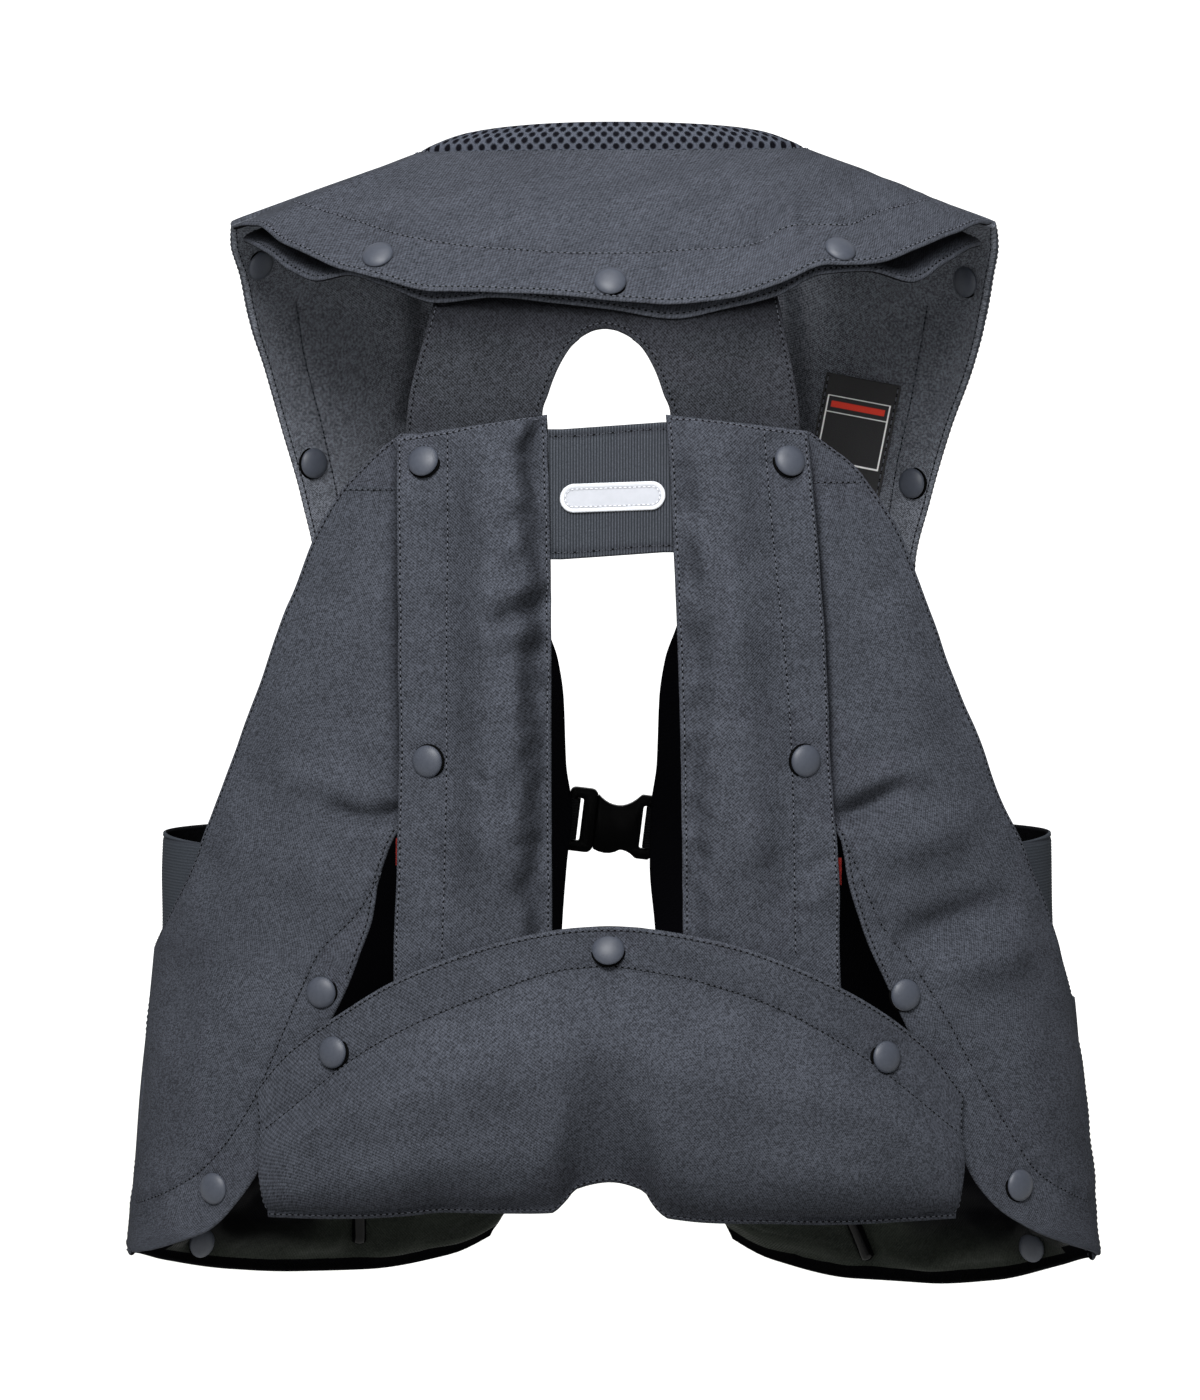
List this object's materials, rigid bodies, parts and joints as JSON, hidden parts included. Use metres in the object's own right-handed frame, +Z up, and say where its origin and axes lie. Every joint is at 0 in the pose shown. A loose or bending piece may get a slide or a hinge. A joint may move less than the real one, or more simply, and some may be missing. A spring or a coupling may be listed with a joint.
{
  "type": "airbag vest",
  "caption": "Child's airbag vest in its worn form: cape collar over the shoulders, padded back straps, kidney flap, side panels with elastic, and front panels closed by a side-release buckle.",
  "frame": {"origin": "middle of the neck opening at shoulder height, where the vest sits on the shoulders", "axes": "+Z up, +Y the way the wearer faces, +X to the wearer's right"},
  "size_m": [0.4094, 0.2152, 0.4967],
  "materials": {
    "shell_cloth": "matte charcoal twill with dashed stitching",
    "front_cloth": "matte charcoal twill, black inside",
    "spacer_mesh": "open spacer mesh",
    "ribbed_elastic": "ribbed slate elastic",
    "badge": "pale grey stitched badge",
    "snap_metal": "matte gunmetal",
    "buckle_plastic": "satin black",
    "webbing": "woven black webbing",
    "label": "black satin ribbon",
    "tube_rubber": "glossy black",
    "red_cloth": "matte red cloth"
  },
  "bodies": {
    "root": {"collar_flap": "shell_cloth", "collar_under": "shell_cloth", "collar_mesh": "spacer_mesh", "back_yoke": "shell_cloth", "back_strap_left": "shell_cloth", "back_strap_right": "shell_cloth", "cross_band": "ribbed_elastic", "badge": "badge", "lower_flap": "shell_cloth", "side_panel_left": "shell_cloth", "side_panel_right": "shell_cloth", "side_elastic_left": "ribbed_elastic", "side_elastic_right": "ribbed_elastic", "front_panel_left": "front_cloth", "front_panel_right": "front_cloth", "buckle_plug": "buckle_plastic", "buckle_socket": "buckle_plastic", "buckle_webbing_left": "webbing", "buckle_webbing_right": "webbing", "label": "label", "hem_tube_left": "tube_rubber", "hem_tube_right": "tube_rubber", "slit_tab_left": "red_cloth", "slit_tab_right": "red_cloth", "snap_collar_left": "snap_metal", "snap_collar_middle": "snap_metal", "snap_collar_right": "snap_metal", "snap_strap_left_top": "snap_metal", "snap_strap_left_low": "snap_metal", "snap_strap_right_top": "snap_metal", "snap_strap_right_low": "snap_metal", "snap_lower_left": "snap_metal", "snap_lower_middle": "snap_metal", "snap_lower_right": "snap_metal", "snap_side_left_top": "snap_metal", "snap_side_left_low": "snap_metal", "snap_side_right_top": "snap_metal", "snap_side_right_low": "snap_metal", "snap_front_left_top": "snap_metal", "snap_front_left_low": "snap_metal", "snap_front_right_top": "snap_metal", "snap_front_right_low": "snap_metal", "snap_hem_left": "snap_metal", "snap_hem_right": "snap_metal"}
  },
  "joints": []
}
